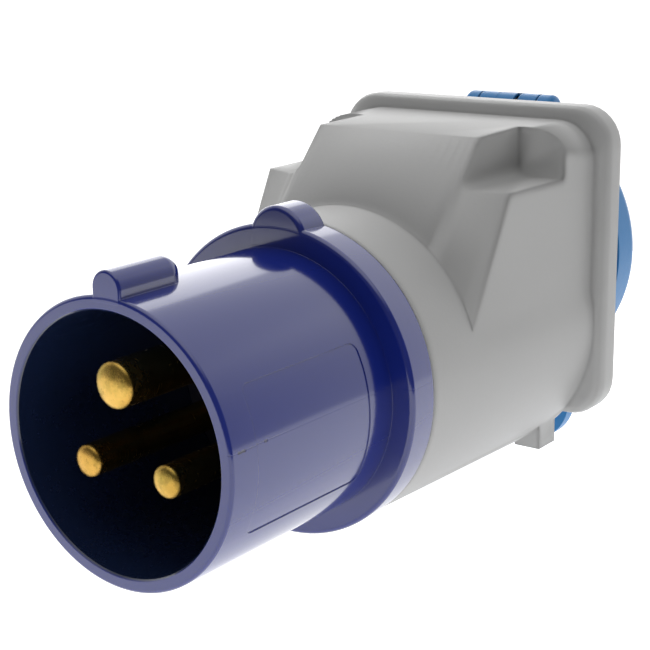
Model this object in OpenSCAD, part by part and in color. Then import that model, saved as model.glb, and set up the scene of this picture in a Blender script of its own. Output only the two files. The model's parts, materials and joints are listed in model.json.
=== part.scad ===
// Adapter with a three-pin pin and sleeve plug at the front and an earthed two-pin
// socket with a sprung lid at the back.
// Origin at the centre of the sleeve's mouth, +Y into the body, +Z up through the key.

/* [Sleeve] */
// Outside diameter of the plug's sleeve
sleeve_d = 44; // [43:0.5:45]
// Wall of the sleeve
sleeve_wall = 2.2; // [1.8:0.1:2.5]
// Length of the sleeve from its mouth to the collar
sleeve_len = 38; // [36:1:42]
// Diameter of the collar
collar_d = 51.6; // [51:0.2:53]
// Length of the collar
collar_len = 6.3; // [5:0.1:8]

/* [Key and lug] */
// Width of the key on the sleeve
key_w = 5.4; // [5:0.2:6]
// Height of the key above the sleeve
key_h = 3.7; // [3:0.1:4.5]
// Length of the key
key_len = 13.8; // [12:0.2:18]
// Diameter of the round lug on the collar
lug_d = 11.2; // [10:0.2:12]
// Height of the lug above the collar
lug_h = 2.9; // [2.5:0.1:4]

/* [Pins] */
// Diameter of the earth pin
earth_d = 7; // [6.5:0.1:7.5]
// Diameter of the line and neutral pins
line_d = 5; // [4.8:0.1:5.2]
// Diameter of the circle that the pins stand on
pin_circle = 17.8; // [17:0.1:18.5]
// Depth of the line and neutral tips behind the mouth
tip_depth = 1.8; // [1.5:0.1:4]

/* [Housing] */
// Diameter of the round neck behind the collar
neck_d = 51; // [50:0.2:52]
// Length of the neck in front of the block
neck_len = 12.7; // [10:0.1:15]
// Length of the housing from the collar to the flange
body_len = 51; // [48:1:56]
// Height of the block's top above the plug's axis
block_top = 37; // [35:0.5:38]
// Thickness of the housing's walls
wall = 2.6; // [2.2:0.1:2.8]
// Distance of the pockets' inner walls from the middle
pocket_x = 16.5; // [15.5:0.1:17.5]
// Height of the pockets' floors above the plug's axis
pocket_floor = 28.4; // [28:0.1:30]

/* [Flange] */
// Width and height of the square flange
flange_w = 56.6; // [55:0.2:60]
// Thickness of the flange
flange_t = 5.8; // [4:0.1:8]
// Height of the flange's middle above the plug's axis
flange_z = 11; // [10:0.5:12]

/* [Socket] */
// Inside diameter of the socket's cup
cup_d = 39.6; // [39:0.1:40]
// Depth of the cup below its rim
cup_depth = 17.5; // [17:0.1:18]
// Distance between the two contact holes
hole_pitch = 19; // [18.8:0.1:19.2]
// Diameter of the contact holes
hole_d = 5.2; // [5:0.1:5.4]
// Width of the socket's square plate
plate_w = 50; // [48:1:52]
// Distance between the plate's screws
screw_pitch = 38; // [37.6:0.2:38.4]

/* [Lid] */
// Diameter of the lid
lid_d = 52.5; // [52:0.5:56]
// Width of the hinge
hinge_w = 18.8; // [17:0.2:22]
// Width of the thumb tab
tab_w = 30.6; // [26:0.2:34]
// Reach of the thumb tab below the lid
tab_len = 13.2; // [10:0.2:14]

/* [Hidden] */
$fn = 96;

plug_blue = [0.22, 0.22, 0.58];
socket_blue = [0.16, 0.46, 0.76];
shell_grey = [0.66, 0.66, 0.66];
brass = [0.82, 0.66, 0.32];
steel = [0.72, 0.73, 0.75];
black = [0.12, 0.12, 0.13];

seat = 0.05;           // clearance of pieces that slide into each other
run_gap = 0.3;         // clearance between the lid and what it closes on
cut = 1;               // reach of a cut past the face that it opens
sliver = 0.01;         // thickness of a section inside a hull

// Stations along the axis
collar_y = sleeve_len;
neck_y = collar_y + collar_len;
block_y = neck_y + neck_len;
flange_y = neck_y + body_len;
rear_y = flange_y + flange_t;
gasket_t = 1;
plate_y = rear_y + gasket_t;
plate_t = 3;
face_y = plate_y + plate_t;
rim_h = 3;
rim_y = face_y + rim_h;
floor_y = rim_y - cup_depth;

// Plug end
sleeve_r = sleeve_d / 2;
sleeve_ri = sleeve_r - sleeve_wall;
collar_r = collar_d / 2;
mouth_edge = 0.6;                  // rounding of the sleeve's mouth
mouth_chamfer = 0.3;
collar_edge = 0.8;
pad_half = 11;                     // half height of the grip pad
pad_from = 6.4;
pad_to = sleeve_len - 6.7;
pad_t = 0.25;
carrier_t = 5;
carrier_y = sleeve_len - 0.5;      // front face of the pin carrier
ledge_y = carrier_y + carrier_t - 0.5;
ledge_t = 4;
spigot_len = 7.7;                  // spigot of the shroud inside the neck
spigot_end = neck_y + spigot_len;
partition_t = 3;
partition_y = spigot_end;
boss_end = ledge_y + ledge_t + 4;  // back of the carrier's boss
head_len = 9;                      // terminal heads of the pins
head_wall = 1.2;
head_end = boss_end + head_len;
grub_y = head_end - 3.5;
earth_r = earth_d / 2;
line_r = line_d / 2;
earth_tip = 0;
dome = 0.17;                       // height of a pin's dome as a share of its radius
pin_r = pin_circle / 2;
line_x = pin_r * sin(60);
line_z = -pin_r * cos(60);
press = 0.4;                       // pins are thicker where the carrier holds them
ledge_ri = pin_r + earth_r + press + 1.7;

// Housing
draft = 0.022;                     // growth of the round part's radius per mm
neck_r = neck_d / 2;
cavity_r = neck_r - wall;
spigot_r = cavity_r - seat;
recess_r = spigot_r - 3.85;        // room for the carrier's screws in the spigot
root = 0.5;                        // overlap of the body with the flange
slant = 15;                        // length of the slanted face
front_y = block_y + slant;
block_half = round_r(flange_y) - 0.8;
front_half = block_half - 0.9;
neck_half = block_half - 1.2;
arc_step = 0.1;                    // height of the round edge above the neck
front_top = block_top - 0.6;
block_corner = 7;                  // rounding of the top corners at the flange
pocket_back = 10.2;                // from the pockets' rear walls to the flange
pocket_end = flange_y - pocket_back;
pocket_fillet = 2;
flange_corner = 7;
flange_edge = 1.6;
foot_x = 13.9;
foot_w = 5.1;
foot_len = 5.3;
foot_z = -23;
tail_t = 2.4;                      // closed end of the round part under the flange
partition_hole_r = ledge_ri + head_wall;

// Small screws: radius of the shaft, of its pilot hole, of its head, height of the head
shaft_r = 0.95;
pilot_r = 1;
pass_r = 1.15;
head_r = 1.8;
head_h = 1.4;
grub_r = 1.2;
carrier_screw_r = (ledge_ri + recess_r) / 2;
carrier_bite = 3;
shroud_screw_r = recess_r + pilot_r + 0.7;
shroud_bite = 5;

// Seal between the shroud and the neck
groove_y = neck_y + 2.5;
groove_w = 2.4;
groove_d = 1.1;

// Socket
cup_ri = cup_d / 2;
cup_bore_r = cup_ri + wall;        // bore of the housing behind the plate
cup_r = cup_bore_r - run_gap;
rim_r = cup_ri + 2.8;
insert_t = 6;
insert_lip = 0.7;                  // the insert is wider than the cup's inside
insert_r = cup_ri + insert_lip;
cup_end = floor_y - insert_t;
hole_r = hole_d / 2;
hole_len = 3;
chamber_r = hole_r + 1.2;          // room for a contact behind its hole
chamber_floor = floor_y - hole_len;
boss_r = chamber_r + 1.2;
boss_y = cup_end - 5.6;            // back of the contact bosses
rib_w = 5.2;
rib_h = 2.5;
insert_screw_x = cup_ri - 1.2;
insert_shaft_r = 0.85;
insert_bite = 7;
strip_t = 0.8;
strip_w = 6;
strip_r = cup_ri - 0.4;            // outside of the earth clips
clip_dip = 2.6;                    // how far the clips spring in
clip_len = 13;
contact_x = hole_pitch / 2;
terminal = 7;                      // size of the terminal blocks
slit = 0.8;                        // slit of a contact's sleeve
earth_block_t = 6;
earth_block_y = cup_end - strip_t - earth_block_t;
plate_half = plate_w / 2;
plate_corner = 5;
plate_shaft_r = 1.35;
plate_head_r = 3;
plate_head_h = 1.5;
plate_sink = 1.6;                  // depth of the sunk screw heads
plate_bite = 7;

// Lid
lid_r = lid_d / 2;
knuckle_r = 2.9;
hinge_y = rim_y + knuckle_r + run_gap;
hinge_z = flange_z + plate_half + 0.2;
hinge_pin_r = 1;
pin_gap = 0.02;
post_w = 3;
post_edge = 1;                     // rounding of the posts' outer ends
post_drop = 1.2;                   // the posts' arms lie below the barrel's top
hinge_half = hinge_w / 2;
barrel_half = hinge_half - post_w - run_gap;
lid_front = face_y + run_gap;
lid_skin = rim_y + 1.9;            // inner face of the lid
lid_round = 3;                     // rounding of its outer edge
lid_turn = 65;                     // angle that this rounding turns through
lid_edge = lid_skin + 0.4;         // where it starts
lid_dome = 4.4;                    // thickness of the lid in its middle
lid_back = lid_skin + lid_dome;
lid_wall = 2;
tab_corner = 9;
tab_t = 2.8;
notch_z = hinge_z - knuckle_r - 0.5;
relief = rim_r * 0.72;             // half width of the skirt's gap at the hinge
spring_wire = 0.35;
spring_half = 2.2;
coil_r = hinge_pin_r + spring_wire + run_gap;
coil_room = coil_r + spring_wire + run_gap;

wire_r = 1.3;
wire_hole = wire_r + seat;

// Straight prism along Y, its outline drawn as x across and y up
module prism(y0, y1) {
    translate([0, y1, 0]) rotate([90, 0, 0]) linear_extrude(y1 - y0) children();
}

// Prism along X, its outline drawn as y along the axis and z up
module slab(x0, x1) {
    translate([x0, 0, 0]) rotate([90, 0, 90]) linear_extrude(x1 - x0) children();
}

// Round rod along Y
module rod(y0, y1, r) {
    translate([0, y0, 0]) rotate([-90, 0, 0]) cylinder(h = y1 - y0, r = r);
}

// Body of revolution about Y from [radius, y] points
module turned(points) {
    rotate([-90, 0, 0]) rotate_extrude() polygon(points);
}

module rounded_square(half_x, z0, z1, r) {
    translate([0, (z0 + z1) / 2]) {
        square([2 * half_x, z1 - z0 - 2 * r], center = true);
        square([2 * half_x - 2 * r, z1 - z0], center = true);
    }
    for (x = [-1, 1], z = [z0 + r, z1 - r])
        translate([x * (half_x - r), z]) circle(r);
}

function arc(cx, cy, r, a0, a1, n = 8) =
    [for (i = [0:n]) let (a = a0 + (a1 - a0) * i / n) [cx + r * cos(a), cy + r * sin(a)]];

// Four places of the plate's screws
module at_plate_screws() {
    for (x = [-1, 1], z = [-1, 1])
        translate([x * screw_pitch / 2, 0, flange_z + z * screw_pitch / 2]) children();
}

// ---- Plug end ----

// Sleeve, collar and spigot in one moulding, with the key, the lug and a grip pad
module plug_shroud() {
    color(plug_blue) difference() {
        union() {
            turned(concat(
                [[sleeve_ri, mouth_chamfer], [sleeve_ri + mouth_chamfer, 0]],
                arc(sleeve_r - mouth_edge, mouth_edge, mouth_edge, -90, 0),
                [[sleeve_r, collar_y]],
                arc(collar_r - collar_edge, collar_y + collar_edge, collar_edge, -90, 0),
                [[collar_r - 0.2, neck_y], [spigot_r, neck_y], [spigot_r, spigot_end],
                 [recess_r, spigot_end], [recess_r, ledge_y + ledge_t],
                 [ledge_ri, ledge_y + ledge_t], [ledge_ri, ledge_y], [sleeve_ri, ledge_y]]));
            key();
            lug();
            intersection() {
                rod(pad_from, pad_to, sleeve_r + pad_t);
                translate([0, 0, -pad_half]) cube([sleeve_r + 1, sleeve_len, 2 * pad_half]);
            }
        }
        rod(cut, carrier_y, sleeve_ri);
        seal_groove() circle(spigot_r + cut);
        at_shroud_screws() rod(spigot_end - shroud_bite - cut, spigot_end + cut, pilot_r);
        at_carrier_screws() rod(ledge_y - cut, ledge_y + ledge_t + cut, pass_r);
    }
}

// Key on the sleeve: a bar with a full-round top and a ball end
module key() {
    r = key_w / 2;
    top = sleeve_r + key_h - r;
    last = key_len - r;
    translate([0, 0, top]) {
        rod(0, last, r);
        translate([0, last, 0]) sphere(r);
    }
    translate([0, 0, sleeve_r - 1]) linear_extrude(top - sleeve_r + 1) {
        translate([-r, 0]) square([key_w, last]);
        translate([0, last]) circle(r);
    }
}

// Round lug across the collar, its two ends rounded over
module lug() {
    r = lug_d / 2;
    intersection() {
        translate([0, 0, collar_r + lug_h - r]) turned(concat(
            [[0, neck_y], [0, collar_y]],
            arc(r - collar_edge, collar_y + collar_edge, collar_edge, -90, 0),
            arc(r - collar_edge, neck_y - collar_edge, collar_edge, 0, 90)));
        translate([-r, 0, sleeve_r]) cube([lug_d, neck_y + 1, lug_d]);
    }
}

// Groove round the spigot for its seal
module seal_groove() {
    prism(groove_y, groove_y + groove_w) difference() {
        children();
        circle(spigot_r - groove_d);
    }
}

module at_shroud_screws() {
    for (a = [0, 120, 240]) rotate([0, a, 0]) translate([0, 0, -shroud_screw_r]) children();
}
module at_carrier_screws() {
    for (a = [90, 270]) rotate([0, a, 0]) translate([0, 0, carrier_screw_r]) children();
}
module at_earth() translate([0, 0, pin_r]) children();
module at_line() translate([line_x, 0, line_z]) children();
module at_neutral() translate([-line_x, 0, line_z]) children();

module pin_carrier() {
    color(black) difference() {
        union() {
            rod(carrier_y, ledge_y, sleeve_ri - seat);
            rod(ledge_y, boss_end, ledge_ri - seat);
        }
        at_earth() rod(carrier_y - cut, boss_end + cut, earth_r + press);
        at_line() rod(carrier_y - cut, boss_end + cut, line_r + press);
        at_neutral() rod(carrier_y - cut, boss_end + cut, line_r + press);
        at_carrier_screws() rod(ledge_y - carrier_bite - seat, ledge_y + cut, pilot_r);
    }
}

// Pin with a domed tip, a thicker shank in the carrier and a terminal head behind it.
// The grub screw's hole is turned by the angle of the screw about Y.
module contact_pin(r, tip, screw_turn) {
    head = r + head_wall;
    edge = 0.3;
    rise = dome * r;
    curve = (r * r + rise * rise) / (2 * rise);
    color(brass) difference() {
        turned(concat(
            [[0, head_end]],
            arc(0, tip + curve, curve, -90, -acos((r - edge) / curve), 12),
            arc(r - edge, tip + rise + edge, edge, -45, 0, 4),
            [[r, carrier_y], [r + press, carrier_y], [r + press, boss_end],
             [head, boss_end], [head, head_end]]));
        rod(boss_end + 2, head_end + cut, wire_hole);
        rotate([0, screw_turn, 0]) translate([0, grub_y, 0]) cylinder(h = 2 * head, r = grub_r + seat);
    }
}
module earth_pin() at_earth() contact_pin(earth_r, earth_tip, 0);
module line_pin() at_line() contact_pin(line_r, tip_depth, 90);
module neutral_pin() at_neutral() contact_pin(line_r, tip_depth, -90);

// Grub screw in a pin's head, from the wire out through the head's wall
module pin_grub(r, turn) {
    rotate([0, turn, 0]) translate([0, grub_y, wire_hole]) grub(r + head_wall - wire_r);
}
module pin_terminal_screws() {
    color(steel) {
        at_earth() pin_grub(earth_r, 0);
        at_line() pin_grub(line_r, 90);
        at_neutral() pin_grub(line_r, -90);
    }
}

// Slotted grub screw standing on the XY plane
module grub(h) {
    difference() {
        cylinder(h = h, r = grub_r);
        translate([0, 0, h]) cube([4 * grub_r, 0.5, 1.2], center = true);
    }
}

// Pan-head screw whose shaft points along +Y from the seat of its head
module screw(shaft, length, head, height) {
    edge = 0.5;
    slot_w = 0.4;
    difference() {
        union() {
            rod(0, length, shaft);
            turned([[0, 0], [0, -height], [head - edge, -height], [head, edge - height], [head, 0]]);
        }
        for (a = [0, 90]) rotate([0, a, 0]) translate([0, -height, 0])
            cube([head * 1.2, height, slot_w], center = true);
    }
}

module carrier_screws() {
    color(steel) at_carrier_screws() translate([0, ledge_y + ledge_t, 0]) mirror([0, 1, 0])
        screw(shaft_r, ledge_t + carrier_bite, head_r, head_h);
}

module shroud_seal() {
    color(black) seal_groove() circle(cavity_r);
}

module shroud_screws() {
    color(steel) at_shroud_screws() translate([0, partition_y + partition_t, 0]) mirror([0, 1, 0])
        screw(shaft_r, partition_t + shroud_bite, head_r, head_h);
}

// ---- Housing ----

function round_r(y) = neck_r + draft * (y - neck_y);

// Solid through a list of sections, each with as many points as the others
module loft(sections) {
    n = len(sections[0]);
    last = len(sections) - 1;
    sides = [for (i = [0:last - 1], k = [0:n - 1])
        [i * n + k, i * n + (k + 1) % n, (i + 1) * n + (k + 1) % n, (i + 1) * n + k]];
    ends = [[for (k = [n - 1:-1:0]) k], [for (k = [0:n - 1]) last * n + k]];
    polyhedron([for (s = sections) each s], concat(sides, ends), convexity = 4);
}

// Upright section of the block at y: flat sides and bottom, and a top drawn by top(x)
function block_section(y, half, top, n = 40) = concat(
    [[-half, y, 0]],
    [for (k = [0:n]) let (x = half * sin(90 * (2 * k / n - 1))) [x, y, top(x)]],
    [[half, y, 0]]);

// Slanted block that grows out of the neck's upper half and runs back to the flange.
// Its front face is ruled from the neck's round edge to the straight edge of the top.
module block() {
    r = round_r(block_y) + arc_step;
    flat = block_half - block_corner;
    loft([
        block_section(flange_y + root, block_half, function (x)
            block_top - block_corner + sqrt(max(0, block_corner ^ 2 - max(0, abs(x) - flat) ^ 2))),
        block_section(front_y, front_half, function (x) front_top),
        block_section(block_y, neck_half, function (x) sqrt(r * r - x * x))]);
}

// Corner pocket on the +X side, open to the front, the top and the side
module pocket() {
    prism(block_y, pocket_end) difference() {
        translate([pocket_x, pocket_floor]) square(block_half);
        difference() {
            translate([pocket_x, pocket_floor]) square(pocket_fillet);
            translate([pocket_x + pocket_fillet, pocket_floor + pocket_fillet]) circle(pocket_fillet);
        }
    }
}

// Flange plate with a rounded front edge
module flange_plate() {
    half = flange_w / 2;
    e = flange_edge;
    hull() {
        for (s = [[0, e], [0.3 * e, 0.3 * e], [e, 0], [flange_t - 0.7, 0], [flange_t - sliver, 0.5]])
            prism(flange_y + s[0], flange_y + s[0] + sliver)
                rounded_square(half - s[1], flange_z - half + s[1], flange_z + half - s[1],
                    flange_corner - s[1], $fn = 32);
    }
}

module foot() {
    translate([foot_x, flange_y - foot_len, foot_z]) cube([foot_w, foot_len + root, -foot_z / 2]);
}

module housing() {
    color(shell_grey) difference() {
        union() {
            turned([[0, neck_y], [neck_r, neck_y], [round_r(flange_y + root), flange_y + root],
                    [0, flange_y + root]]);
            block();
            flange_plate();
            foot();
            mirror([1, 0, 0]) foot();
        }
        pocket();
        mirror([1, 0, 0]) pocket();
        rod(neck_y - cut, partition_y, cavity_r);
        rod(neck_y, partition_y + partition_t + cut, partition_hole_r);
        rod(partition_y + partition_t, flange_y - tail_t, cavity_r);
        at_socket() rod(front_y, rear_y + cut, cup_bore_r);
        at_shroud_screws() rod(partition_y - cut, partition_y + partition_t + cut, pass_r);
        at_plate_screws() rod(rear_y - plate_bite - seat, rear_y + cut, plate_shaft_r + seat);
    }
}

module at_socket() translate([0, 0, flange_z]) children();
module plate_outline() {
    rounded_square(plate_half, flange_z - plate_half, flange_z + plate_half, plate_corner);
}

module panel_gasket() {
    color(black) difference() {
        prism(rear_y, plate_y) plate_outline();
        at_socket() rod(rear_y - cut, plate_y + cut, cup_bore_r);
        at_plate_screws() rod(rear_y - cut, plate_y + cut, plate_shaft_r + run_gap);
    }
}

// ---- Socket ----

// Plate, raised rim, cup and hinge posts in one moulding
module socket_front() {
    color(socket_blue) difference() {
        union() {
            prism(plate_y, face_y) plate_outline();
            at_socket() {
                rod(cup_end, face_y, cup_r);
                rod(plate_y, rim_y, rim_r);
            }
            hinge_post();
            mirror([1, 0, 0]) hinge_post();
        }
        difference() {
            at_socket() rod(floor_y, rim_y + cut, cup_ri);
            for (s = [-1, 1]) translate([s * cup_ri, 0, flange_z])
                prism(floor_y - cut, face_y) square([2 * rib_h, rib_w], center = true);
        }
        at_socket() rod(cup_end - cut, floor_y, insert_r + seat);
        at_insert_screws() rod(floor_y - cut, floor_y + insert_bite + seat, insert_shaft_r + seat);
        at_plate_screws() {
            rod(plate_y - cut, face_y + cut, plate_shaft_r + run_gap);
            rod(face_y - plate_sink, face_y + cut, plate_head_r + run_gap);
        }
        hinge_rod(hinge_w, hinge_pin_r + pin_gap);
    }
}

// Post of the hinge: an arm out of the plate with a round eye, rounded at its outer end
module hinge_post() {
    inner = hinge_half - post_w;
    slab(inner, hinge_half - post_edge) translate([plate_y, hinge_z - knuckle_r])
        square([hinge_y - plate_y, 2 * knuckle_r - post_drop]);
    translate([0, hinge_y, hinge_z]) rotate([0, 90, 0]) rotate_extrude() polygon(concat(
        [[0, inner], [knuckle_r, inner]],
        arc(knuckle_r - post_edge, hinge_half - post_edge, post_edge, 0, 90),
        [[0, hinge_half]]));
}

// Rod along the hinge's axis
module hinge_rod(half, r) {
    translate([-half, hinge_y, hinge_z]) rotate([0, 90, 0]) cylinder(h = 2 * half, r = r);
}

module plate_screws() {
    color(steel) at_plate_screws() translate([0, face_y - plate_sink, 0]) mirror([0, 1, 0])
        screw(plate_shaft_r, plate_t - plate_sink + gasket_t + plate_bite, plate_head_r, plate_head_h);
}

module at_contacts() {
    for (s = [-1, 1]) translate([s * contact_x, 0, flange_z]) children();
}
module at_insert_screws() {
    for (s = [-1, 1]) translate([s * insert_screw_x, 0, flange_z]) children();
}

module contact_carrier() {
    color(black) difference() {
        union() {
            at_socket() rod(cup_end, floor_y, insert_r);
            at_contacts() rod(boss_y, cup_end, boss_r);
        }
        at_contacts() {
            rod(boss_y - cut, chamber_floor, chamber_r);
            rod(chamber_floor - cut, floor_y + cut, hole_r);
        }
        at_insert_screws() rod(cup_end - cut, floor_y + cut, insert_shaft_r + run_gap);
        at_socket() for (s = [-1, 1]) translate([0, 0, s * (insert_r + strip_r - strip_t) / 2])
            prism(cup_end - cut, floor_y + cut)
                square([strip_w + 2 * run_gap, insert_r - strip_r + strip_t + 2 * run_gap], center = true);
    }
}

module insert_screws() {
    color(steel) at_insert_screws() translate([0, cup_end, 0])
        screw(insert_shaft_r, insert_t + insert_bite, 1.7, 1.3);
}

// Strip behind the carrier with a sprung clip up each side of the cup and a terminal
module earth_bracket() {
    in = strip_r - strip_t;
    clip = [[cup_end - strip_t, 0], [cup_end, 0], [cup_end, in], [floor_y + 2, in],
            [floor_y + clip_len - 5, strip_r - clip_dip], [floor_y + clip_len, in],
            [floor_y + clip_len, strip_r], [floor_y + clip_len - 5, strip_r - clip_dip + strip_t],
            [floor_y + 2, strip_r], [cup_end - strip_t, strip_r]];
    color(brass) at_socket() difference() {
        union() {
            for (s = [0, 1]) mirror([0, 0, s]) slab(-strip_w / 2, strip_w / 2) polygon(clip);
            translate([-terminal / 2, earth_block_y, -terminal / 2])
                cube([terminal, earth_block_t + strip_t / 2, terminal]);
        }
        rod(earth_block_y - cut, earth_block_y + earth_block_t - cut, wire_hole);
        translate([0, earth_block_y + earth_block_t / 2, 0]) cylinder(h = terminal, r = grub_r + seat);
    }
}

// Split sleeve that grips the mating pin, with its terminal block behind the boss
module socket_contact() {
    color(brass) difference() {
        union() {
            rod(boss_y, chamber_floor - run_gap, chamber_r - seat);
            translate([-terminal / 2, boss_y - terminal, -terminal / 2]) cube(terminal);
        }
        rod(boss_y + 1, chamber_floor + cut, hole_r + seat);
        translate([-slit / 2, boss_y + 2, -terminal]) cube([slit, chamber_floor - boss_y, 2 * terminal]);
        rod(boss_y - terminal - cut, boss_y - 1.5, wire_hole);
        translate([0, boss_y - terminal / 2, 0]) cylinder(h = terminal, r = grub_r + seat);
    }
}
module live_contact() translate([contact_x, 0, flange_z]) socket_contact();
module neutral_contact() translate([-contact_x, 0, flange_z]) socket_contact();

module contact_terminal_screws() {
    height = terminal / 2 - wire_r + 0.2;
    color(steel) {
        at_contacts() translate([0, boss_y - terminal / 2, wire_hole]) grub(height);
        at_socket() translate([0, earth_block_y + earth_block_t / 2, wire_hole]) grub(height);
    }
}

// ---- Inner wires, from the bottom of each pin's hole into its contact's block ----

// Round wire swept along a list of points
function unit(v) = v / norm(v);
function tangent(p, i) = unit(p[min(i + 1, len(p) - 1)] - p[max(i - 1, 0)]);
function ring(c, t, r, n) =
    let (a = unit(cross(t, [0, 0, 1])), b = cross(a, t))
    [for (k = [0:n - 1]) c + r * (cos(360 * k / n) * a + sin(360 * k / n) * b)];
module sweep(path, r, n = 12) {
    loft([for (i = [0:len(path) - 1]) ring(path[i], tangent(path, i), r, n)]);
}
// Easy S-bend from a to b that leaves and arrives along Y
function bend(a, b, n = 10) =
    [for (i = [0:n]) let (t = i / n, s = t * t * (3 - 2 * t))
        [a[0] + (b[0] - a[0]) * s, a[1] + (b[1] - a[1]) * t, a[2] + (b[2] - a[2]) * s]];

module inner_wire(x0, z0, x1, end_y, tint) {
    straight = 3;
    color(tint) sweep(concat(
        [[x0, boss_end + 2.5, z0]],
        bend([x0, head_end + 0.4, z0], [x1, end_y - terminal + straight - 1, flange_z]),
        [[x1, end_y, flange_z]]), wire_r);
}
module live_wire() inner_wire(line_x, line_z, contact_x, boss_y - 2, [0.35, 0.2, 0.12]);
module neutral_wire() inner_wire(-line_x, line_z, -contact_x, boss_y - 2, [0.2, 0.35, 0.7]);
module earth_wire()
    inner_wire(0, pin_r, 0, earth_block_y + earth_block_t - 1.5, [0.45, 0.6, 0.2]);

// ---- Lid ----

// Domed cap with a skirt round the socket's rim, a hinge notch and a thumb tab
module lid() {
    color(socket_blue) {
        difference() {
            union() {
                at_socket() turned(concat(
                    [[0, lid_skin], [lid_r - lid_wall, lid_skin], [lid_r - lid_wall, lid_front],
                     [lid_r, lid_front]],
                    arc(lid_r - lid_round, lid_edge, lid_round, 0, lid_turn),
                    [[lid_r * 0.6, lid_back - 0.5], [lid_r * 0.3, lid_back - 0.1], [0, lid_back]]));
                prism(lid_edge - tab_t + 0.4, lid_edge + 0.4) difference() {
                    rounded_square(tab_w / 2, flange_z - lid_r - tab_len, flange_z, tab_corner);
                    translate([0, flange_z]) circle(lid_r - 1);
                }
            }
            translate([-hinge_half - run_gap, face_y, notch_z])
                cube([hinge_w + 2 * run_gap, 2 * lid_wall + lid_back - face_y, lid_r]);
            translate([-relief, face_y, flange_z + lid_r / 2])
                cube([2 * relief, rim_h + run_gap, lid_r]);
        }
        barrel();
    }
}

// Barrel of the lid's hinge with its foot on the lid, running free on the pin. Its
// middle is open to the front, where the spring lies in it.
module barrel() {
    room = spring_half + run_gap;
    foot_y = lid_back - 1;
    difference() {
        slab(-barrel_half, barrel_half) {
            translate([hinge_y, hinge_z]) circle(knuckle_r);
            translate([lid_skin, notch_z - 1]) square([foot_y - lid_skin, hinge_z - notch_z + 1]);
        }
        hinge_rod(hinge_w, hinge_pin_r + seat);
        hinge_rod(room, coil_room);
        slab(-room, room) translate([lid_skin - knuckle_r, notch_z])
            square([hinge_y + run_gap - lid_skin + knuckle_r, 3 * knuckle_r]);
    }
}

module lid_gasket() {
    color(black) at_socket() difference() {
        rod(rim_y + run_gap, lid_skin, cup_ri + 2);
        rod(rim_y, lid_skin + cut, cup_ri + run_gap);
    }
}

module hinge_pin() {
    color(steel) hinge_rod(hinge_half, hinge_pin_r);
}

// Torsion spring: close coils round the pin and a fixed leg that rests on the rim
module lid_spring() {
    drop = hinge_z - coil_r - (flange_z + rim_r + spring_wire + seat);
    reach = hinge_y - rim_y + 1.5;
    color(steel) {
        difference() {
            hinge_rod(spring_half, coil_r + spring_wire);
            hinge_rod(spring_half + cut, coil_r - spring_wire);
        }
        translate([spring_half - spring_wire - seat, hinge_y, hinge_z - coil_r])
            rotate([90 + atan2(drop, reach), 0, 0])
                cylinder(h = norm([drop, reach]), r = spring_wire - seat);
    }
}

plug_shroud();
pin_carrier();
earth_pin();
line_pin();
neutral_pin();
carrier_screws();
pin_terminal_screws();
shroud_seal();
shroud_screws();
housing();
panel_gasket();
socket_front();
plate_screws();
contact_carrier();
insert_screws();
earth_bracket();
live_contact();
neutral_contact();
contact_terminal_screws();
live_wire();
neutral_wire();
earth_wire();
lid();
lid_gasket();
hinge_pin();
lid_spring();
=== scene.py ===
import json
import math

import bmesh
import bpy
from mathutils import Matrix, Vector

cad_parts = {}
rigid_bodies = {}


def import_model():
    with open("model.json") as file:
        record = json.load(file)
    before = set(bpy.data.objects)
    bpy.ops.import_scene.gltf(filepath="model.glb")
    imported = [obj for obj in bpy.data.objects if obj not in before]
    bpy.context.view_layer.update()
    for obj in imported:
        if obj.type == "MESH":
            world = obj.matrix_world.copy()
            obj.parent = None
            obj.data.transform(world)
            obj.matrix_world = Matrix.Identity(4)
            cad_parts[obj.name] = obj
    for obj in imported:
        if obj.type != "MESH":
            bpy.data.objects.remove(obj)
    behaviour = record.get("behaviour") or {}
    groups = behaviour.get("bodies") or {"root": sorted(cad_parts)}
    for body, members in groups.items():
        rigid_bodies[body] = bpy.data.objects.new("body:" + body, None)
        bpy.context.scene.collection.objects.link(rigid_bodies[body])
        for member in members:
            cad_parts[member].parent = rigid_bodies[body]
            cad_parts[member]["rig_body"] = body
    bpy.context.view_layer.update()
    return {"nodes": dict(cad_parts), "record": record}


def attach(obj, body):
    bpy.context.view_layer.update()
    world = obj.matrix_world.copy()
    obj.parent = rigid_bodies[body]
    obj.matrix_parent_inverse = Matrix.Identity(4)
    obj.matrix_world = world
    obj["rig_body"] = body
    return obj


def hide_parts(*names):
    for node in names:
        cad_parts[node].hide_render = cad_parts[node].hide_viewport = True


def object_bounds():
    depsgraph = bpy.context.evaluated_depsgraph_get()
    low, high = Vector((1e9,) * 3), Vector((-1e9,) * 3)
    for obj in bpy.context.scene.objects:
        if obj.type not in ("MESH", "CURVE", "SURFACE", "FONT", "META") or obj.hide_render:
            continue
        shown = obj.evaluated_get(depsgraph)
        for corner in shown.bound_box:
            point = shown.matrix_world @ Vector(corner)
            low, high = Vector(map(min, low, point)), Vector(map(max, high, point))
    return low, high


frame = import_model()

# ---- Sleeve and collar ----
# The plug's shroud: sleeve, key, collar and lug in one injection moulding of glossy
# indigo polyamide. It is pushed into the housing's neck and screwed from behind.

mm = 0.001  # the scene is in metres, and the pieces' sizes are written in millimetres


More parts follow.
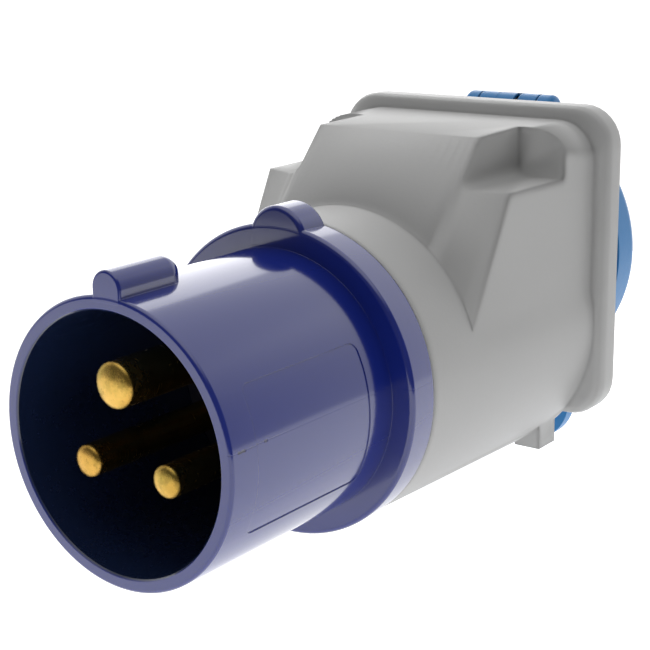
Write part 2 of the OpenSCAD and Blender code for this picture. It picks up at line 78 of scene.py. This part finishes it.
class Value:
    """A node's socket that takes part in Python sums: each operator adds its Math node."""

    def __init__(self, graph, socket):
        self.graph = graph
        self.socket = socket

    def math(self, operation, first, second):
        return self.graph.node("ShaderNodeMath", {"operation": operation}, {0: first, 1: second})

    def __add__(self, other):
        return self.math("ADD", self, other)

    def __sub__(self, other):
        return self.math("SUBTRACT", self, other)

    def __rsub__(self, other):
        return self.math("SUBTRACT", other, self)

    def __mul__(self, other):
        return self.math("MULTIPLY", self, other)

    def __truediv__(self, other):
        return self.math("DIVIDE", self, other)

    def __rtruediv__(self, other):
        return self.math("DIVIDE", other, self)

    def __pow__(self, other):
        return self.math("POWER", self, other)

    __radd__ = __add__
    __rmul__ = __mul__


class Graph:
    """A node tree to which nodes are added by type, settings and inputs."""

    def __init__(self, tree):
        self.tree = tree

    def node(self, kind, settings=None, inputs=None, out=0):
        made = self.tree.nodes.new(kind)
        for key, value in (settings or {}).items():
            setattr(made, key, value)
        for key, value in (inputs or {}).items():
            for part in value if isinstance(value, list) else [value]:
                if isinstance(part, Value):
                    self.tree.links.new(part.socket, made.inputs[key])
                else:
                    made.inputs[key].default_value = part
        return Value(self, made.outputs[out])

    def place(self, kind="Object"):
        return self.node("ShaderNodeTexCoord", out=kind)

    def axes(self, place):
        split = self.node("ShaderNodeSeparateXYZ", None, {0: place})
        outs = split.socket.node.outputs
        return [Value(self, outs[i]) for i in range(3)]

    def noise(self, place, scale, detail=3.0, roughness=0.5, stretch=None):
        if stretch:
            place = self.node("ShaderNodeMapping", None, {"Vector": place, "Scale": stretch})
        inputs = {"Vector": place, "Scale": scale, "Detail": detail, "Roughness": roughness}
        return self.node("ShaderNodeTexNoise", None, inputs)

    def blend(self, amount, low, high):
        """Colour between two others; a Mix node has its colours on sockets 6 and 7."""
        colours = {k: (*v, 1) if isinstance(v, tuple) else v for k, v in ((6, low), (7, high))}
        return self.node("ShaderNodeMix", {"data_type": "RGBA"}, {0: amount, **colours}, out=2)

    def step(self, value, low, high, first=0.0, last=1.0):
        """Smooth change from first to last while value goes from low to high."""
        return self.node("ShaderNodeMapRange", {"interpolation_type": "SMOOTHSTEP"},
                         {0: value, 1: low, 2: high, 3: first, 4: last})

    def within(self, value, low, high, soft):
        """1 where value lies between low and high, with soft edges."""
        return (self.step(value, low - soft, low + soft)
                * self.step(value, high - soft, high + soft, first=1.0, last=0.0))


class Finish(Graph):
    """A material around one Principled shader, whose fixed values are given by name."""

    def __init__(self, name, **fixed):
        self.material = bpy.data.materials.new(name)
        self.material.use_nodes = True
        super().__init__(self.material.node_tree)
        self.shader = self.tree.nodes["Principled BSDF"]
        for socket, value in fixed.items():
            self.shader.inputs[socket.replace("_", " ")].default_value = value

    def feed(self, socket, value):
        self.tree.links.new(value.socket, self.shader.inputs[socket])

    def bump(self, height, strength, distance, edge=0.0):
        inputs = {"Strength": strength, "Distance": distance, "Height": height}
        if edge:
            inputs["Normal"] = self.node("ShaderNodeBevel", {"samples": 6}, {"Radius": edge})
        self.feed("Normal", self.node("ShaderNodeBump", None, inputs))


def plug_plastic():
    """Glossy indigo polyamide, duller inside, with painted shade darkening the bore, and the
    mould's seam and fine scuffs.
    """
    f = Finish("plug_plastic", IOR=1.6, Coat_Weight=0.5, Coat_Roughness=0.06, Coat_IOR=1.5)
    place = f.place()
    x, y, z = f.axes(place)
    radius = (x * x + z * z) ** 0.5
    flow = f.noise(place, scale=55.0, detail=4.0, roughness=0.6, stretch=(1.0, 0.35, 1.0))
    scuff = f.noise(place, scale=700.0, detail=5.0, roughness=0.65)
    peel = f.noise(place, scale=240.0, detail=2.0, roughness=0.4)
    dashes = f.noise(place, scale=260.0, detail=2.0, roughness=0.5, stretch=(0.2, 1.0, 0.2))
    outside = f.step(radius, (sleeve_r - 0.6) * mm, (sleeve_r - 0.3) * mm)
    right_side = f.step(x, 12 * mm, 13 * mm) * outside
    # 1 in the bore: the surface is rougher there, and its colour gets painted shade
    inside = f.step(radius, (bore_r + 0.05) * mm, (bore_r + 0.3) * mm, first=1.0, last=0.0)
    seam = (f.within(z, seam_z * mm, (seam_z + 0.12) * mm, soft=0.05 * mm)
            * f.step(y, 8 * mm, 16 * mm, first=1.0, last=0.25) * right_side)
    near_mouth = f.within(y, 1.2 * mm, 3.2 * mm, soft=0.2 * mm)
    further_in = f.within(y, 6.8 * mm, 8 * mm, soft=0.2 * mm)
    nicks = (f.step(dashes, 0.46, 0.50) * (near_mouth + further_in) * right_side
             * f.within(z, (seam_z - 0.13) * mm, (seam_z + 0.24) * mm, soft=0.05 * mm))
    indigo = f.blend(flow, (0.006, 0.015, 0.165), (0.009, 0.021, 0.205))
    # Painted shade: the bore's wall is blended towards near-black navy to stand in for the shade
    # inside the sleeve, although the moulding is one indigo throughout
    indigo_with_painted_bore_shade = f.blend(inside * 0.85, indigo, (0.008, 0.016, 0.030))
    f.feed("Base Color", f.blend(nicks, indigo_with_painted_bore_shade, (0.001, 0.003, 0.06)))
    f.feed("Roughness", 0.10 + scuff * 0.05 + flow * 0.04 + inside * 0.12)
    f.bump(peel * 0.04 - seam * 0.5 - nicks, strength=0.8, distance=0.14 * mm, edge=0.15 * mm)
    return f.material


def arc(r, y, radius, first, last, steps=6):
    """Points of an arc about (r, y), angles in degrees."""
    turns = [math.radians(first + (last - first) * i / steps) for i in range(steps + 1)]
    return [(r + radius * math.cos(t), y + radius * math.sin(t)) for t in turns]


def ring_of(mesh, points):
    return [mesh.verts.new((x * mm, y * mm, z * mm)) for x, y, z in points]


def skin(mesh, rings, closed=False):
    """Quads between rings of points: a closed loop of rings, or a bar with its two ends filled."""
    made = []
    for ring, after in zip(rings, rings[1:] + rings[:1] if closed else rings[1:]):
        for k in range(len(ring)):
            j = (k + 1) % len(ring)
            made.append(mesh.faces.new((ring[k], ring[j], after[j], after[k])))
    if not closed:
        made += [mesh.faces.new(rings[0]), mesh.faces.new(rings[-1])]
    return made


def lathe(mesh, profile, steps=180):
    """Closed profile of (radius, y) points in millimetres turned about Y."""
    turns = [2 * math.pi * i / steps for i in range(steps)]
    skin(mesh, [ring_of(mesh, [(r * math.cos(turn), y, r * math.sin(turn)) for r, y in profile])
                for turn in turns], closed=True)


def arch(mesh, sections, centre, foot):
    """Bar along Y with a half-round top: sections of (y, radius), top centred at height centre."""
    rings = []
    for y, r in sections:
        top = [(x, centre + rise) for x, rise in arc(0, 0, r, 180, 0, 20)]
        rings.append(ring_of(mesh, [(x, y, z) for x, z in [(-r, foot)] + top + [(r, foot)]]))
    skin(mesh, rings)


def grip_pad(mesh, first, last, half, corner, floor, steps=12):
    """Core of the sunk pad on the right side; its half height is measured round the sleeve."""
    turns = [math.radians(90 * i / steps) for i in range(steps + 1)]
    upper = [(half - corner + corner * math.sin(t), corner - corner * math.cos(t)) for t in turns]
    middle = [(around, 0.0) for around in range(-9, 10)]
    lower = [(-around, inset) for around, inset in reversed(upper)]
    outer = sleeve_r + 0.6
    rings = []
    for around, inset in lower + middle + upper:
        turn, y0, y1 = around / sleeve_r, first + inset, last - inset
        corners = (floor, y0), (outer, y0), (outer, y1), (floor, y1)
        rings.append(ring_of(mesh, [(r * math.cos(turn), y, r * math.sin(turn))
                                    for r, y in corners]))
    skin(mesh, rings)


def cut(mesh, core):
    """The mesh less the core's volume."""
    blanks = []
    for part in (mesh, core):
        bmesh.ops.recalc_face_normals(part, faces=part.faces)
        data = bpy.data.meshes.new("blank")
        part.to_mesh(data)
        part.free()
        blanks.append(bpy.data.objects.new("blank", data))
        bpy.context.scene.collection.objects.link(blanks[-1])
    knife = blanks[0].modifiers.new("knife", "BOOLEAN")
    knife.operation, knife.solver, knife.object = "DIFFERENCE", "EXACT", blanks[1]
    ready = blanks[0].evaluated_get(bpy.context.evaluated_depsgraph_get())
    result = bmesh.new()
    result.from_mesh(bpy.data.meshes.new_from_object(ready))
    for blank in blanks:
        bpy.data.objects.remove(blank)
    return result


def finish_piece(name, mesh, material, body, node, sharp=32):
    """The piece's object: faces outwards, smooth between its edges, flat faces kept flat."""
    bmesh.ops.recalc_face_normals(mesh, faces=mesh.faces)
    data = bpy.data.meshes.new(name)
    mesh.to_mesh(data)
    mesh.free()
    return place_piece(name, data, material, body, node, sharp)


def place_piece(name, data, material, body, node, sharp=32):
    """The object of a finished mesh, which rides on a body and stands for a CAD node."""
    data.shade_smooth()
    data.set_sharp_from_angle(angle=math.radians(sharp))
    data.materials.clear()
    data.materials.append(material)
    piece = bpy.data.objects.new(name, data)
    bpy.context.scene.collection.objects.link(piece)
    weigh = piece.modifiers.new("normals", "WEIGHTED_NORMAL")
    weigh.keep_sharp = True
    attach(piece, body)
    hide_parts(node)
    subparts = frame["record"]["subparts"]
    next(s["material_slot"] for s in subparts if s["node"] == node)
    return piece


sleeve_r, sleeve_len, mouth_round, seam_z = 22, 38, 0.6, 2.88
bore_r, bore_edge = 19.8, 0.3
collar_r, collar_len, collar_draft, collar_round, back_round = 25.8, 6.3, 0.2, 0.8, 0.35
neck_y = sleeve_len + collar_len
spigot_r, spigot_bore, spigot_end = 22.85, 19, 52
groove_y, groove_w, groove_d = neck_y + 2.5, 2.4, 1.1
ledge_r, ledge_y, ledge_t = 14.5, 42, 4
key_r, key_h, key_len, key_round = 2.7, 3.7, 13.8, 0.4
lug_r, lug_h = 5.6, 2.9
clear = 0.02  # the key's and the lug's ends stand off the faces that they start from

sleeve = bmesh.new()
groove_r, groove_end, ledge_end = spigot_r - groove_d, groove_y + groove_w, ledge_y + ledge_t
lathe(sleeve, [(bore_r, bore_edge), (bore_r + bore_edge, 0)]
      + arc(sleeve_r - mouth_round, mouth_round, mouth_round, -90, 0) + [(sleeve_r, sleeve_len)]
      + arc(collar_r - collar_round, sleeve_len + collar_round, collar_round, -90, 0, 8)
      + arc(collar_r - collar_draft - back_round, neck_y - back_round, back_round, 0, 90, 4)
      + [(spigot_r, neck_y), (spigot_r, groove_y), (groove_r, groove_y), (groove_r, groove_end),
         (spigot_r, groove_end), (spigot_r, spigot_end), (spigot_bore, spigot_end),
         (spigot_bore, ledge_end), (ledge_r, ledge_end), (ledge_r, ledge_y), (bore_r, ledge_y)])
pad = bmesh.new()
grip_pad(pad, first=5.6, last=32.2, half=11.55, corner=1.6, floor=21.86)
mould = cut(sleeve, pad)
key_front = [(y + clear, r) for r, y in arc(key_r - key_round, key_round, key_round, -90, 0, 4)]
ball_turns = [i * 0.15 for i in range(11)]
key_ball = [(key_len - key_r + key_r * math.sin(t), key_r * math.cos(t)) for t in ball_turns]
arch(mould, key_front + key_ball, centre=sleeve_r + key_h - key_r, foot=sleeve_r - 1)
lug_front = arc(lug_r - collar_round, sleeve_len + collar_round, collar_round, -90, 0)
lug_back = arc(lug_r - collar_round, neck_y - collar_round, collar_round, 0, 90)
arch(mould, [(y + clear, r) for r, y in lug_front] + [(y - clear, r) for r, y in lug_back],
     centre=collar_r + lug_h - lug_r, foot=sleeve_r)
finish_piece("sleeve_and_collar", mould, plug_plastic(), "body", "plug_shroud")


# ---- Pin carrier and contact carrier ----
# Two inserts moulded in near-black polyamide. The disc that holds the pins is screwed to
# the shroud's ledge from behind; the other holds the contacts at the floor of the cup.

def dark_insert():
    """Dull dark polyamide with a fine spark-eroded texture."""
    f = Finish("insert_plastic", IOR=1.5)
    place = f.place()
    grain = f.noise(place, scale=1400.0, detail=4.0, roughness=0.7)
    f.feed("Base Color", f.blend(grain, (0.006, 0.006, 0.016), (0.016, 0.016, 0.03)))
    f.feed("Roughness", 0.45 + grain * 0.2)
    f.bump(grain, strength=0.3, distance=0.2 * mm, edge=0.3 * mm)
    return f.material


def dress(node, material, sharp=32, extra=None):
    """A CAD node's copy, merged, its flat faces whole, to which extra may add a form."""
    solid = frame["nodes"][node]
    mesh = solid.data.copy()
    mesh.name = node + "_skin"
    work = bmesh.new()
    work.from_mesh(mesh)
    bmesh.ops.remove_doubles(work, verts=work.verts, dist=merge_gap)
    bmesh.ops.dissolve_limit(work, angle_limit=flat_angle, verts=work.verts, edges=work.edges)
    if extra:
        extra(work)
    work.to_mesh(mesh)
    work.free()
    return place_piece(node + "_skin", mesh, material, solid["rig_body"], node, sharp)


merge_gap, flat_angle = 0.002 * mm, math.radians(0.4)
insert_plastic = dark_insert()
for name in ("pin_carrier", "contact_carrier"):
    dress(name, insert_plastic)


# ---- Pins, contacts and earth clips ----
# Pins turned from brass bar with domed tips, pressed into the carrier; contacts and the
# earth bracket stamped from brass strip.

def turned_brass():
    """Bare brass: rings left by the lathe, reddish and olive tarnish, dark specks on the tips."""
    f = Finish("brass", Metallic=1.0)
    place = f.place()
    y = f.axes(place)[1]
    rings = f.noise(place, scale=160.0, detail=3.0, roughness=0.6, stretch=(0.15, 24.0, 0.15))
    tarnish = f.noise(place, scale=210.0, detail=4.0, roughness=0.6)
    specks = (f.step(f.noise(place, scale=620.0, detail=5.0, roughness=0.7), 0.50, 0.68)
              * f.step(y, 3 * mm, 5 * mm, first=1.0, last=0.15))
    blush = f.step(f.noise(place, scale=90.0, detail=2.0, roughness=0.5), 0.50, 0.60)
    worn = f.blend(f.step(tarnish, 0.35, 0.65), (0.66, 0.41, 0.10), (0.40, 0.28, 0.06))
    blushed = f.blend(blush * 0.35, worn, (0.56, 0.27, 0.05))
    f.feed("Base Color", f.blend(specks * 0.3, blushed, (0.16, 0.12, 0.03)))
    f.feed("Roughness", 0.17 + rings * 0.08 + tarnish * 0.08 + specks * 0.12)
    f.bump(rings + specks * 0.6, strength=0.12, distance=0.1 * mm, edge=1.0 * mm)
    return f.material


brass = turned_brass()
for name in ("earth_pin", "line_pin", "neutral_pin", "earth_bracket", "live_contact",
             "neutral_contact"):
    dress(name, brass)


# ---- Housing ----
# Light grey moulding in one piece: round neck, slanted block with its corner pockets,
# square flange and feet. Fine satin texture from the mould.

def housing_plastic():
    """Satin light grey with faint flow marks and a fine grain; its edges are soft."""
    f = Finish("housing_plastic", IOR=1.5)
    place = f.place()
    flow = f.noise(place, scale=38.0, detail=3.0, roughness=0.55, stretch=(1.0, 0.5, 1.0))
    grain = f.noise(place, scale=1500.0, detail=4.0, roughness=0.7)
    f.feed("Base Color", f.blend(flow, (0.38, 0.38, 0.38), (0.42, 0.42, 0.415)))
    f.feed("Roughness", 0.36 + grain * 0.14)
    f.bump(grain, strength=0.12, distance=0.2 * mm, edge=2.2 * mm)
    return f.material


housing = dress("housing", housing_plastic(), sharp=22)
housing.modifiers["normals"].mode = "CORNER_ANGLE"


# ---- Socket front and lid ----
# Bright blue mouldings: the plate with its cup and hinge posts, and the sprung lid with
# its thumb tab. The lid turns on a steel pin, and a bridge moulded on its barrel covers
# the spring.

def socket_plastic():
    """Bright blue with faint flow marks and fine scuffs."""
    f = Finish("socket_plastic", IOR=1.45)
    place = f.place()
    flow = f.noise(place, scale=60.0, detail=4.0, roughness=0.6)
    scuff = f.noise(place, scale=1000.0, detail=5.0, roughness=0.65)
    f.feed("Base Color", f.blend(flow, (0.006, 0.16, 0.42), (0.012, 0.20, 0.50)))
    f.feed("Roughness", 0.30 + scuff * 0.1)
    f.bump(scuff, strength=0.12, distance=0.2 * mm, edge=0.4 * mm)
    return f.material


def spring_bridge(mesh):
    """Curved wall over the spring from the front over the top, with a slot for its leg."""
    walls = ((-bridge_half, slot_from, bridge_start), (slot_to, bridge_half, bridge_start),
             (slot_from - bridge_lap, slot_to + bridge_lap, slot_end))
    for x0, x1, first in walls:
        outline = (arc(hinge_y, hinge_z, bridge_r, 180 - first, 180 - bridge_end, 16)
                   + arc(hinge_y, hinge_z, spring_room, 180 - bridge_end, 180 - first, 16))
        made = skin(mesh, [ring_of(mesh, [(x, y, z) for y, z in outline]) for x in (x0, x1)])
        bmesh.ops.recalc_face_normals(mesh, faces=made)


hinge_y, hinge_z = 111.3, 36.2
bridge_half, bridge_r, spring_room, bridge_lap = 2.6, 2.87, 2.36, 0.02
bridge_start, slot_end, bridge_end = 18, 88, 100  # degrees from the front over the top
slot_from, slot_to = 1.32, 2.28
socket_blue = socket_plastic()
dress("socket_front", socket_blue)
dress("lid", socket_blue, extra=spring_bridge)


# ---- Seals ----
# Black rubber: the ring in the spigot's groove, the gasket under the socket's plate and
# the ring in the lid. Each is cut or moulded to size and pressed in place.

def rubber_skin():
    """Dull black with a powdery grain."""
    f = Finish("rubber", IOR=1.5)
    grain = f.noise(f.place(), scale=1600.0, detail=4.0, roughness=0.7)
    f.feed("Base Color", f.blend(grain, (0.012, 0.012, 0.013), (0.025, 0.025, 0.026)))
    f.feed("Roughness", 0.6 + grain * 0.2)
    f.bump(grain, strength=0.3, distance=0.2 * mm)
    return f.material


rubber = rubber_skin()
for name in ("shroud_seal", "panel_gasket", "lid_gasket"):
    dress(name, rubber)


# ---- Screws and hinge pin ----
# Zinc-plated steel. Pan-head screws with a cross recess hold the socket's plate and the
# contact carrier; small ones and grub screws sit inside, and a plain pin carries the lid.

def plated_steel():
    """Bright zinc with a fine, slightly cloudy grain."""
    f = Finish("plated_steel", Metallic=1.0)
    grain = f.noise(f.place(), scale=900.0, detail=4.0, roughness=0.6)
    f.feed("Base Color", f.blend(grain, (0.50, 0.50, 0.50), (0.66, 0.66, 0.67)))
    f.feed("Roughness", 0.25 + grain * 0.2)
    f.bump(grain, strength=0.15, distance=0.1 * mm, edge=0.1 * mm)
    return f.material


class Recipe(Graph):
    """A Geometry Nodes tree with named sizes, run once to give a plain mesh."""

    def __init__(self, name, *sizes):
        super().__init__(bpy.data.node_groups.new(name, "GeometryNodeTree"))
        sockets = self.tree.interface
        for way in ("INPUT", "OUTPUT"):
            sockets.new_socket("Geometry", in_out=way, socket_type="NodeSocketGeometry")
        self.named = {}
        for size in sizes:
            socket = sockets.new_socket(size, in_out="INPUT", socket_type="NodeSocketFloat")
            self.named[size] = socket.identifier
        self.entry = self.tree.nodes.new("NodeGroupInput")
        self.exit = self.tree.nodes.new("NodeGroupOutput")

    def size(self, name):
        return Value(self, self.entry.outputs[name])

    def vector(self, x=0.0, y=0.0, z=0.0):
        return self.node("ShaderNodeCombineXYZ", None, {0: x, 1: y, 2: z})

    def moved(self, shape, by, turn=(0.0, 0.0, 0.0)):
        inputs = {"Geometry": shape, "Translation": by, "Rotation": turn}
        return self.node("GeometryNodeTransform", None, inputs)

    def join(self, *shapes):
        return self.node("GeometryNodeJoinGeometry", None, {0: list(shapes)})

    def round_wire(self, path, radius, sides):
        """Closed tube along a path."""
        section = self.node("GeometryNodeCurvePrimitiveCircle", {"mode": "RADIUS"},
                            {"Resolution": sides, "Radius": radius})
        inputs = {"Curve": path, "Profile Curve": section, "Fill Caps": True}
        return self.node("GeometryNodeCurveToMesh", None, inputs)

    def close(self, shape, material, turn=(0.0, 0.0, 0.0)):
        """The shape on each point that comes in, made real and given its material."""
        points = self.node("GeometryNodeMeshToPoints", None,
                           {"Mesh": Value(self, self.entry.outputs[0])})
        each = self.node("GeometryNodeInstanceOnPoints", None,
                         {"Points": points, "Instance": shape, "Rotation": turn})
        whole = self.node("GeometryNodeRealizeInstances", None, {0: each})
        dressed = self.node("GeometryNodeSetMaterial", None,
                            {"Geometry": whole, "Material": material})
        self.tree.links.new(dressed.socket, self.exit.inputs[0])
        return self

    def run(self, name, points, sizes, material, body, node, sharp=32):
        """The recipe on the given points, as the one piece that stands for a node."""
        data = bpy.data.meshes.new(name)
        data.from_pydata([[c * mm for c in p] for p in points], [], [])
        blank = bpy.data.objects.new(name + "_points", data)
        bpy.context.scene.collection.objects.link(blank)
        recipe = blank.modifiers.new("recipe", "NODES")
        recipe.node_group = self.tree
        for size, value in sizes.items():
            recipe[self.named[size]] = value
        ready = blank.evaluated_get(bpy.context.evaluated_depsgraph_get())
        mesh = bmesh.new()
        mesh.from_mesh(bpy.data.meshes.new_from_object(ready))
        bpy.data.objects.remove(blank)
        bmesh.ops.remove_doubles(mesh, verts=mesh.verts, dist=1e-7)
        return finish_piece(name, mesh, material, body, node, sharp)


def screw_recipe(material):
    """Pan-head screw with a cross recess and a rolled thread, one on each point."""
    r = Recipe("screws", "Shaft Radius", "Length", "Head Radius", "Head Height", "Pitch", "Turn")
    shaft, length, head = r.size("Shaft Radius"), r.size("Length"), r.size("Head Radius")
    height, pitch = r.size("Head Height"), r.size("Pitch")
    pan = r.node("GeometryNodeMeshCylinder", None,
                 {"Vertices": 48, "Side Segments": 10, "Radius": head, "Depth": height})
    x, y, z = r.axes(r.node("GeometryNodeInputPosition"))
    # The pan's side closes in towards its top
    narrow = (1.0 - 0.8 * (z / height + 0.5) ** 4.0) ** 0.5
    pan = r.node("GeometryNodeSetPosition", None,
                 {"Geometry": pan, "Position": r.vector(x * narrow, y * narrow, z)})
    # The recess's two arms end at different depths, so that the cut leaves a closed mesh
    long, thin, arms = head * 1.10, head * 0.26, []
    for wide, deep, lift in ((long, thin, 0.65), (thin, long, 0.68)):
        arm = r.node("GeometryNodeMeshCube", None, {"Size": r.vector(wide, deep, height)})
        arms.append(r.moved(arm, r.vector(z=height * lift)))
    pan = r.node("GeometryNodeMeshBoolean", {"operation": "DIFFERENCE"},
                 {"Mesh 1": pan, "Mesh 2": arms})
    pan = r.moved(pan, r.vector(z=height * 0.5))
    core = r.node("GeometryNodeMeshCylinder", None,
                  {"Vertices": 24, "Radius": shaft - pitch * 0.2, "Depth": length})
    core = r.moved(core, r.vector(z=length * -0.5 + height * 0.1))
    root, ridge = shaft - pitch * 0.28, pitch * 0.28
    helix = r.node("GeometryNodeCurveSpiral", None,
                   {"Resolution": 20, "Rotations": length / pitch - 1.0, "Start Radius": root,
                    "End Radius": root, "Height": length - pitch, "Reverse": True})
    thread = r.moved(r.round_wire(helix, ridge, sides=4), r.vector(z=pitch * 0.5 - length))
    return r.close(r.join(pan, core, thread), material, r.vector(r.size("Turn")))


steel = plated_steel()
screws = screw_recipe(steel)
to_back, to_front = math.pi * -0.5, math.pi * 0.5
socket_z, plate_y, plate_half, insert_y, insert_half = 11, 103.5, 19, 84.6, 18.6
plate_places = [(x, plate_y, socket_z + z) for x in (-plate_half, plate_half)
                for z in (-plate_half, plate_half)]
insert_places = [(x, insert_y, socket_z) for x in (-insert_half, insert_half)]
for name, shaft, long, head, tall, turn, places in (
        ("plate_screws", 1.35, 9.4, 3.0, 1.5, to_back, plate_places),
        ("insert_screws", 0.85, 13.0, 1.7, 1.3, to_front, insert_places)):
    sizes = {"Shaft Radius": shaft * mm, "Length": long * mm, "Head Radius": head * mm,
             "Head Height": tall * mm, "Pitch": 0.5 * shaft * mm, "Turn": turn}
    screws.run(name + "_made", places, sizes, steel, "body", name)
for name in ("carrier_screws", "shroud_screws", "pin_terminal_screws", "contact_terminal_screws",
             "hinge_pin"):
    dress(name, steel, sharp=25)


# ---- Lid spring ----
# Torsion spring of zinc-plated wire, wound round the hinge pin in the gap at the middle
# of the lid's barrel. Its fixed leg rests on the socket's rim.

def spring_recipe(material):
    """Coils along X with the leg at the bottom of the last one."""
    r = Recipe("spring", "Coil Radius", "Wire Radius", "Coils", "Coiled Length", "Leg Reach",
               "Leg Drop")
    coil, coiled = r.size("Coil Radius"), r.size("Coiled Length")
    helix = r.node("GeometryNodeCurveSpiral", None,
                   {"Resolution": 32, "Rotations": r.size("Coils"), "Start Radius": coil,
                    "End Radius": coil, "Height": coiled, "Reverse": True})
    helix = r.moved(helix, r.vector(coiled * -0.5), (0.0, math.pi / 2, 0.0))
    foot = r.vector(coiled * 0.5, r.size("Leg Reach") * -1.0, coil * -1.0 - r.size("Leg Drop"))
    leg = r.node("GeometryNodeCurvePrimitiveLine", None,
                 {"Start": r.vector(coiled * 0.5, 0.0, coil * -1.0), "End": foot})
    return r.close(r.round_wire(r.join(helix, leg), r.size("Wire Radius"), sides=10), material)


sizes = {"Coil Radius": 1.65 * mm, "Wire Radius": 0.34 * mm, "Coils": 5.0,
         "Coiled Length": 3.6 * mm, "Leg Reach": 4.7 * mm, "Leg Drop": 0.55 * mm}
spring_recipe(steel).run("lid_spring_wound", [(0, hinge_y, hinge_z)], sizes, steel, "body",
                         "lid_spring", sharp=60)


# ---- Wires ----
# Insulated copper wires between the pins' and the contacts' terminals: brown for live,
# blue for neutral, green for earth. Their ends are clamped by the grub screws.

def wire_skin(name, colour):
    """Semi-matt coloured insulation."""
    f = Finish(name, IOR=1.5)
    grain = f.noise(f.place(), scale=700.0, detail=3.0, roughness=0.6)
    dark = tuple(0.7 * c for c in colour)
    f.feed("Base Color", f.blend(grain, dark, colour))
    f.feed("Roughness", 0.4 + grain * 0.15)
    return f.material


for name, finish, colour in (("live_wire", "wire_brown", (0.14, 0.06, 0.03)),
                             ("neutral_wire", "wire_blue", (0.03, 0.12, 0.50)),
                             ("earth_wire", "wire_green", (0.14, 0.40, 0.06))):
    dress(name, wire_skin(finish, colour), sharp=60)


# ---- Studio ----
# White light table under the part, a white room behind and above it that is dark on the
# camera's side, and the camera in front on the right.

middle = Vector((0, 0.05, 0))
table_size, table_drop = 0.56, 0.012
table = Finish("table", Roughness=0.9, Emission_Strength=0.72)
tint = table.noise(table.place(), scale=3.0)
table.feed("Base Color", table.blend(tint, (0.80, 0.80, 0.80), (0.83, 0.83, 0.83)))
table.feed("Emission Color", table.blend(tint, (0.99, 0.99, 0.99), (1.0, 1.0, 1.0)))
table_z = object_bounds()[0][2] - table_drop
bpy.ops.mesh.primitive_plane_add(size=table_size, location=(middle.x, middle.y, table_z))
floor = bpy.context.object
floor.name = "floor"
floor.data.materials.append(table.material)

world = bpy.data.worlds.new("studio")
bpy.context.scene.world = world
world.use_nodes = True
room = Graph(world.node_tree)
east, north, height = room.axes(room.place("Generated"))
toward_eye = east * 0.60 - north * 0.80
walls = (room.step(toward_eye, -0.50, 0.12, first=1.3, last=0.13)
         * room.step(height, 0.55, 0.85, first=1.0, last=0.0))
ceiling = room.step(height, 0.60, 0.90, first=0.0, last=1.4)
left_wall = room.step(east, -0.39, -0.35, first=1.05, last=0.0) * room.step(north, 0.3, 0.6)
seen = room.node("ShaderNodeLightPath", out="Is Camera Ray")
strength = (walls + ceiling + left_wall) * (1.0 - seen) + seen * 1.2
backdrop = room.tree.nodes["Background"]
backdrop.inputs["Color"].default_value = (1, 1, 1, 1)
room.tree.links.new(strength.socket, backdrop.inputs["Strength"])

azimuth, elevation, roll = (math.radians(a) for a in (36.92, 14.94, -0.89))
distance, aside, above = 0.25693, 0.000165, 0.006535
back = Vector((math.sin(azimuth) * math.cos(elevation),
               -math.cos(azimuth) * math.cos(elevation), math.sin(elevation)))
right = Vector((math.cos(azimuth), math.sin(azimuth), 0))
up = back.cross(right)
right, up = (right * math.cos(roll) + up * math.sin(roll),
             up * math.cos(roll) - right * math.sin(roll))
eye = middle + right * aside + up * above + back * distance
lens = bpy.data.cameras.new("camera")
lens.sensor_width = 36.0
lens.lens = 85.2
lens.clip_start = 0.01
camera = bpy.data.objects.new("camera", lens)
bpy.context.scene.collection.objects.link(camera)
rows = [(right[k], up[k], back[k], eye[k]) for k in range(3)]
camera.matrix_world = Matrix(rows + [(0, 0, 0, 1)])
bpy.context.scene.camera = camera
bpy.context.scene.view_settings.view_transform = "Standard"
